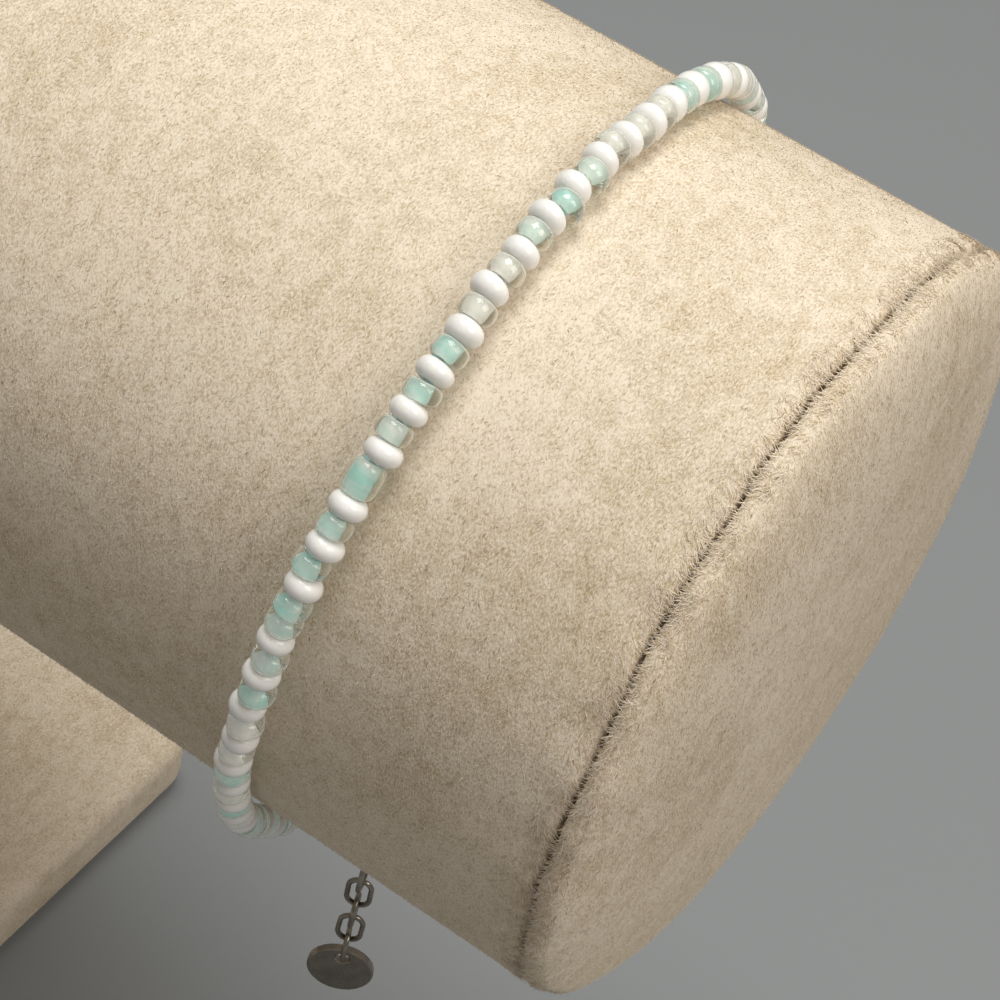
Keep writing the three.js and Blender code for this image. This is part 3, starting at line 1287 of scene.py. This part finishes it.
# Beads that the photo shows, from the back over the top to the front. Each has its angle from the
# top in degrees, its kind, and how far it stands aside towards the near end, in hundredths of a mm.
SEEN_BEADS = (
    (-44.0, "p", -15), (-40.4, "w", -20), (-36.9, "c", 5), (-33.6, "w", 15), (-30.3, "c", 10),
    (-25.7, "w", 8), (-21.9, "m", 5), (-17.6, "w", -3), (-14.5, "m", 6), (-10.8, "w", 0),
    (-7.9, "c", 12), (-5.3, "w", 10), (-2.6, "c", 10), (0.0, "w", -4), (2.5, "c", -20),
    (5.0, "w", -20), (7.9, "p", 10), (10.9, "w", -26), (13.5, "m", 20), (16.1, "w", -20),
    (18.9, "p", -14), (21.7, "w", -4), (24.5, "c", -2), (27.3, "w", -18), (30.2, "c", 5),
    (33.1, "w", 18), (36.0, "m", 22), (38.7, "w", 16), (41.3, "m", 22), (43.9, "w", 15),
    (46.6, "p", 5), (49.3, "w", 22), (53.0, "l", 4), (56.7, "w", 8), (59.4, "m", -2),
    (62.2, "w", 8), (64.9, "m", -14), (67.8, "w", 5), (70.8, "m", 0), (73.4, "p", -4),
    (76.0, "w", -6), (78.9, "p", 10), (81.7, "w", -2), (84.6, "m", 16), (87.5, "w", -14),
    (90.7, "c", 12), (93.9, "w", 4), (96.6, "c", 0), (99.3, "w", -10), (102.2, "m", -4),
    (105.0, "w", 0), (107.8, "c", -4), (110.4, "w", 4), (113.2, "m", 0),
)


@dataclass(frozen=True)
class StrungBead:
    """One bead: where its middle lies on the route, its thickness, and how far it stands aside."""

    kind: BeadKind
    angle: float
    thickness: float
    aside: float


@dataclass
class BeadStrand:
    """The strand of seed beads on its thread, from the back tip over the roll to the front tip."""

    route: LoopRoute
    start: float
    end: float
    seed: int = 29
    steps: int = 24
    section_points: int = 18
    thread_steps: int = 420
    thread_radius: float = 0.25 * MM
    joint: float = 0.03 * MM
    beside_seen: float = 0.026
    hidden_odds: tuple[int, int, int] = (5, 3, 3)
    hidden_aside_mm: float = 0.15
    pattern_spread_mm: float = 40
    swell: tuple[float, float] = (0.97, 1.02)
    bore_shift_across_mm: tuple[float, float] = (-0.22, -0.03)
    bore_shift_out_mm: tuple[float, float] = (-0.02, 0.06)
    turn_degrees: float = 3.5
    nod_degrees: float = 3

    def build(self) -> None:
        """Builds the beads of each kind as one joined mesh, and the thread."""
        beads = self.string_up()
        clear = ClearGlass().make()
        wall = [
            clear,
            BoreLining("mint_bore_lining", "#abe8e5", "#effcfb").make(),
            BoreLining("pale_mint_bore_lining", "#cdecea", "#f6fcfb").make(),
            BoreLining("pearl_bore_lining", "#eef0ed", "#feffff").make(),
        ]
        white = [b for b in beads if b.kind is BeadKind.WHITE]
        lined = [b for b in beads if b.kind is not BeadKind.WHITE]
        self._joined("white_beads", white, [OpaqueGlass().make()], ["bead_string"])
        self._joined("lined_beads", lined, wall)
        self._thread()
        LOG.info("strand: %d beads, %d of them white", len(beads), len(white))

    def string_up(self) -> list[StrungBead]:
        """Every bead in order: the seen ones from the chart, the hidden ones drawn by the seed.

        Returns:
            The beads, each filling the room between its neighbours.
        """
        seen = [
            (math.radians(180 + angle), BeadKind(kind), aside / 100 * MM)
            for angle, kind, aside in SEEN_BEADS
        ]
        before = self._fill(self.start, seen[0][0] - self.beside_seen, BeadKind.PALE)
        after = self._fill(seen[-1][0] + self.beside_seen, self.end, BeadKind.MINT)
        strung = [*before, *seen, *after]
        room = [BEAD_SHAPES[kind].thickness for _, kind, _ in strung]
        bounds = [self.start]
        for i in range(len(strung) - 1):
            share = room[i] / (room[i] + room[i + 1])
            bounds.append(strung[i][0] + (strung[i + 1][0] - strung[i][0]) * share)
        bounds.append(self.end)
        beads = []
        for (_, kind, aside), low, high in zip(strung, bounds, bounds[1:]):
            reach = (self.route.point(high) - self.route.point(low)).length
            beads.append(StrungBead(kind, (low + high) / 2, reach - self.joint, aside))
        return beads

    def _fill(
        self, low: float, high: float, beside: BeadKind
    ) -> list[tuple[float, BeadKind, float]]:
        """Draws the beads of a hidden stretch, every second one white.

        Args:
            low: the angle where the stretch starts.
            high: the angle where it ends.
            beside: the kind of the seen bead next to it.

        Returns:
            Each bead's angle, kind and standing aside.
        """
        dice = random.Random(self.seed)
        pair = BEAD_SHAPES[BeadKind.WHITE].thickness + BEAD_SHAPES[BeadKind.MINT].thickness
        stops = [self.route.point(float(angle)) for angle in np.linspace(low, high, num=200)]
        length = sum((after - before).length for before, after in zip(stops, stops[1:]))
        count = 2 * round(length / pair)
        colours = (BeadKind.MINT, BeadKind.PALE, BeadKind.PEARL)
        white_turn = 1 if beside is BeadKind.PALE else 0
        drawn = []
        for i in range(count):
            angle = low + (high - low) * (i + 0.5) / count
            kind = dice.choices(colours, self.hidden_odds)[0]
            if i % 2 == white_turn:
                kind = BeadKind.WHITE
            aside = dice.uniform(-self.hidden_aside_mm, self.hidden_aside_mm) * MM
            drawn.append((angle, kind, aside))
        return drawn

    def _section(self, shape: BeadShape, thickness: float) -> list[tuple[float, float]]:
        """A bead's section from bore to belly.

        Args:
            shape: the shape of its kind.
            thickness: its own thickness.

        Returns:
            The section's points, as (place along the bore, radius).
        """
        middle = shape.radius - shape.crown
        section = []
        for i in range(self.section_points):
            angle = FULL_TURN * (i + 0.5) / self.section_points
            outside = math.sin(angle) > 0
            power = 2 / (shape.squareness if outside else shape.squareness + 2)
            reach = shape.crown if outside else middle - shape.bore
            along = math.copysign(abs(math.cos(angle)) ** power, math.cos(angle))
            out = math.copysign(abs(math.sin(angle)) ** power, math.sin(angle))
            section.append((along * thickness / 2, middle + out * reach))
        return section

    def _joined(
        self,
        name: str,
        beads: Sequence[StrungBead],
        materials: Sequence[bpy.types.Material],
        nodes: Iterable[str] = (),
    ) -> None:
        """Makes one piece of many beads.

        Args:
            name: the piece's name.
            beads: the beads that it holds.
            materials: the outer glass first, then the linings of the mint, pale and pearl beads.
            nodes: the solids that it stands for.
        """
        dice = random.Random(self.seed + len(beads))
        lining = {BeadKind.MINT: 1, BeadKind.LONG_MINT: 1, BeadKind.PALE: 2, BeadKind.PEARL: 3}
        whole = bmesh.new()
        whole.verts.layers.float_vector.new(BEAD_PLACE)
        whole.verts.layers.float.new(MOUTH_SHARE)
        for bead in beads:
            shape = BEAD_SHAPES[bead.kind]
            bm = turned(self._section(shape, bead.thickness), self.steps, closed=True)
            place = bm.verts.layers.float_vector.new(BEAD_PLACE)
            mouth = bm.verts.layers.float.new(MOUTH_SHARE)
            far = Vector([dice.uniform(0, self.pattern_spread_mm) for _ in range(3)])
            swell = dice.uniform(*self.swell)
            across = dice.uniform(*self.bore_shift_across_mm)
            off_centre = Vector((0, across, dice.uniform(*self.bore_shift_out_mm))) * MM
            wall = shape.radius - shape.bore
            if bead.kind in lining:
                for face in bm.faces:
                    middle = face.calc_center_median()
                    if math.hypot(middle.y, middle.z) < shape.radius - shape.crown:
                        face.material_index = lining[bead.kind]
            for vert in bm.verts:
                vert[place] = vert.co / MM + far
                vert[mouth] = (2 * abs(vert.co.x) / bead.thickness) ** 3
                radius = math.hypot(vert.co.y, vert.co.z)
                vert.co += off_centre * ((shape.radius - radius) / wall)
            tilt = Matrix.Rotation(math.radians(dice.gauss(0, self.turn_degrees)), 4, "Z")
            tilt @= Matrix.Rotation(math.radians(dice.gauss(0, self.nod_degrees)), 4, "Y")
            spot = self.route.frame(bead.angle) @ Matrix.Translation((0, bead.aside, 0))
            absorb(whole, bm, spot @ tilt @ Matrix.Diagonal((1, swell, swell, 1)))
        publish(name, whole, materials, nodes)

    def _thread(self) -> None:
        """The clear elastic thread, seen only where two beads meet."""
        curve = bpy.data.curves.new("thread_route", "CURVE")
        curve.dimensions = "3D"
        curve.bevel_depth = self.thread_radius
        curve.bevel_resolution = 1
        curve.use_fill_caps = True
        spline = curve.splines.new("POLY")
        spline.points.add(self.thread_steps)
        for i, point in enumerate(spline.points):
            angle = self.start + (self.end - self.start) * i / self.thread_steps
            point.co = (*self.route.point(angle), 1.0)
        holder = bpy.data.objects.new("thread_route", curve)
        mesh = bpy.data.meshes.new_from_object(holder)
        mesh.name = "stringing_thread"
        bpy.data.objects.remove(holder)
        mesh.shade_smooth()
        finish = PlainFinish("clear_elastic_thread", "#e9e6dd", 0.35)
        publish("stringing_thread", mesh, [finish.make()])


@dataclass
class Findings:
    """The metal parts: the tips, the two rings, the clasp, the extension chain and its tag."""

    route: LoopRoute
    metal: bpy.types.Material
    gap: float = 0.3 * MM
    tip_length: float = 2.5 * MM
    tip_radius: float = 1.05 * MM
    tip_neck: float = 0.5 * MM
    eye_radius: float = 0.95 * MM
    eye_wire: float = 0.28 * MM
    chain_ring: float = 2.5 * MM
    chain_wire: float = 0.35 * MM
    clasp_ring: float = 1.9 * MM
    clasp_wire: float = 0.3 * MM
    clasp_ring_reach: float = 11.4 * MM
    link_width: float = 2.1 * MM
    link_length: float = 3.45 * MM
    link_wire: float = 0.25 * MM
    link_count: int = 12
    link_twist: float = math.radians(92.14)
    chain_angle: float = math.radians(2.2)

    def reach(self, ring: float, wire: float) -> float:
        """From a ring's middle to the middle of an eye that hangs in it."""
        return ring - wire - self.gap - self.eye_wire + self.eye_radius

    def string_distance(self, ring: float, wire: float) -> float:
        """From a ring's middle to the first bead past its tip."""
        return self.reach(ring, wire) + self.eye_radius + self.tip_length + self.gap

    def ends(self) -> tuple[float, float]:
        """Where the bead string starts, past the back tip, and ends, before the front one.

        Returns:
            The two angles on the route.
        """
        middle = self.route.angle_at(self.chain_angle, 1, self.clasp_ring_reach)
        past_clasp = self.string_distance(self.clasp_ring, self.clasp_wire)
        past_chain = self.string_distance(self.chain_ring, self.chain_wire)
        back = self.route.angle_at(middle, 1, past_clasp)
        front = self.route.angle_at(self.chain_angle, -1, past_chain)
        return back, front + FULL_TURN

    def build(self) -> None:
        """Builds the tips, the two rings and the extension chain."""
        back, front = self.ends()
        chain_centre = self.route.point(self.chain_angle)
        clasp_angle = self.route.angle_at(self.chain_angle, 1, self.clasp_ring_reach)
        clasp_centre = self.route.point(clasp_angle)
        front_reach = self.reach(self.chain_ring, self.chain_wire)
        back_reach = self.reach(self.clasp_ring, self.clasp_wire)
        self._tip("end_tip_front", chain_centre, self.route.point(front), front_reach)
        self._tip("end_tip_back", clasp_centre, self.route.point(back), back_reach)
        self._ring("chain_ring", chain_centre, self.chain_ring, self.chain_wire)
        self._ring("clasp_ring", clasp_centre, self.clasp_ring, self.clasp_wire)
        self._chain(chain_centre)

    def _put_in_place(self, name: str, bm: bmesh.types.BMesh, place: Matrix) -> None:
        """Puts a metal part in its place and publishes it.

        Args:
            name: the solid that it stands for.
            bm: its mesh, which is freed.
            place: its place.
        """
        bmesh.ops.transform(bm, matrix=place, verts=bm.verts)
        publish(f"{name}_metal", bm, [self.metal], [name])

    def _ring(self, name: str, centre: Vector, radius: float, wire: float) -> None:
        """A jump ring in the loop's plane.

        Args:
            name: the solid that it stands for.
            centre: its middle.
            radius: from its middle to the middle of its wire.
            wire: its wire's radius.
        """
        bm = wire_ring(radius, wire, steps=40, sides=12)
        across = self.route.across()
        along = across.orthogonal().normalized()
        self._put_in_place(name, bm, placing(centre, across, along))

    def _tip(self, name: str, ring: Vector, string: Vector, reach: float) -> None:
        """A bead tip with its eye.

        Args:
            name: the solid that it stands for.
            ring: the middle of the ring that it hangs in.
            string: where the bead string ends.
            reach: from the ring's middle to the eye's.
        """
        start = reach + self.eye_radius
        belly = self.tip_length - self.tip_neck
        rows = 14
        profile = [(start, 0.0), (start, self.tip_neck)]
        for i in range(1, rows):
            angle = math.pi * i / rows
            radius = max(self.tip_neck, self.tip_radius * math.sin(angle))
            profile.append((start + self.tip_neck + belly / 2 * (1 - math.cos(angle)), radius))
        profile += [(start + self.tip_length, self.tip_neck), (start + self.tip_length, 0.0)]
        bm = turned(profile, steps=24)
        eye = wire_ring(self.eye_radius, self.eye_wire, steps=28, sides=10)
        turn = Matrix.Rotation(math.pi / 2, 4, "Z")
        absorb(bm, eye, Matrix.Translation((reach, 0, 0)) @ turn)
        along = (string - ring).normalized()
        self._put_in_place(name, bm, placing(ring, along, self.route.across()))

    def _chain(self, ring: Vector) -> None:
        """The extension chain: it hangs straight down, each link turned from the last.

        Args:
            ring: the middle of the ring that it hangs from.
        """
        across = self.route.across()
        down = Vector((0, 0, -1))
        lowest = (down - across * down.dot(across)).normalized()
        top = ring + lowest * (self.chain_ring - self.chain_wire - self.gap - self.link_wire)
        pitch = self.link_length - 2 * self.link_wire - self.gap
        heading = math.atan2(across.y, across.x)
        for i in range(self.link_count):
            bm = wire_ring(self.link_width / 2, self.link_wire, steps=24, sides=10)
            stretch = (self.link_length - self.link_width) / 2
            for vert in bm.verts:
                vert.co.z += math.copysign(stretch, vert.co.z)
            turn = Matrix.Rotation(heading + math.pi / 2 + i * self.link_twist, 4, "Z")
            spot = Vector((top.x, top.y, top.z - self.link_length / 2 - i * pitch))
            self._put_in_place(f"extension_link_{i + 1:02d}", bm, Matrix.Translation(spot) @ turn)


# The studio


@dataclass(frozen=True)
class Studio:
    """The camera at the photo's place, a plain grey floor and soft light."""

    loop_centre: Vector
    camera_offset: Vector = Vector((59.27, -136.28, 146.14)) * MM
    right: Vector = Vector((0.81476, 0.55040, 0.18228))
    forward: Vector = Vector((-0.27738, 0.64609, -0.71108))
    lens_mm: float = 103.74
    floor_half: float = 3.0
    room: str = "#f7ecde"
    room_strength: float = 0.275

    def set_camera(self) -> None:
        """Puts the camera where the photo was taken from."""
        data = bpy.data.cameras.new("photo_camera")
        data.lens = self.lens_mm
        data.sensor_width = 36.0
        data.clip_start = 5 * MM
        data.clip_end = 20.0
        camera = bpy.data.objects.new("photo_camera", data)
        bpy.context.scene.collection.objects.link(camera)
        back = -self.forward.normalized()
        up = back.cross(self.right).normalized()
        turn = Matrix((up.cross(back), up, back)).transposed().to_4x4()
        camera.matrix_world = Matrix.Translation(self.loop_centre + self.camera_offset) @ turn
        bpy.context.scene.camera = camera

    def set_floor(self) -> None:
        """A wide floor of grey paper under the stand."""
        bm = bmesh.new()
        bmesh.ops.create_grid(bm, x_segments=1, y_segments=1, size=self.floor_half)
        mesh = bpy.data.meshes.new("studio_floor")
        bm.to_mesh(mesh)
        bm.free()
        mesh.materials.append(PlainFinish("matt_grey_paper", "#8c9094", 0.9).make())
        floor = bpy.data.objects.new("studio_floor", mesh)
        bpy.context.scene.collection.objects.link(floor)

    def set_light(self) -> None:
        """A large soft light above, a second one beyond the near end, and a pale room."""
        above, beyond_end = Vector((-0.075, 0.06, 0.66)), Vector((0.5, -0.02, 0.56))
        self._softbox("key_softbox", above, size=0.34, watts=3.3, tint="#fdfef9")
        self._softbox("fill_softbox", beyond_end, size=0.4, watts=2.45, tint="#fdf8f0")
        world = bpy.data.worlds.new("pale_room")
        world.use_nodes = True
        world.node_tree.nodes.clear()
        light = add_node(
            world.node_tree,
            "ShaderNodeBackground",
            {"Color": linear(self.room), "Strength": self.room_strength},
        )
        add_node(world.node_tree, "ShaderNodeOutputWorld", {"Surface": light.outputs[0]})
        bpy.context.scene.world = world

    def _softbox(self, name: str, offset: Vector, size: float, watts: float, tint: str) -> None:
        """A square light that faces the bracelet.

        Args:
            name: the light's name.
            offset: its place from the loop's centre.
            size: its side.
            watts: its power.
            tint: its colour.
        """
        data = bpy.data.lights.new(name, "AREA")
        data.shape = "SQUARE"
        data.size = size
        data.energy = watts
        data.color = linear(tint)[:3]
        lamp = bpy.data.objects.new(name, data)
        bpy.context.scene.collection.objects.link(lamp)
        lamp.location = self.loop_centre + offset
        lamp.rotation_mode = "QUATERNION"
        lamp.rotation_quaternion = (-offset).to_track_quat("-Z", "Y")


def main() -> None:
    """Builds the studio, the stand and the bracelet round the frame."""
    logging.basicConfig(level=logging.INFO, format="%(name)s: %(message)s")
    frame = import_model()
    cloth = CutVelvet()
    stand = VelvetStand.from_frame(cloth)
    route = LoopRoute.round_roll(stand)
    studio = Studio(Vector((route.centre_x, 0, route.axis_z)))
    studio.set_camera()
    studio.set_floor()
    studio.set_light()
    # Plain tones, as the photo has, so that a hex value shows as itself in full light
    bpy.context.scene.view_settings.view_transform = "Standard"
    stand.build()
    metal = SilverPlate().make()
    findings = Findings(route, metal)
    start, end = findings.ends()
    BeadStrand(route, start, end).build()
    findings.build()
    for name in ("lobster_clasp", "end_tag"):
        for slot in frame["nodes"][name].material_slots:
            slot.material = metal


if __name__ == "__main__":
    main()
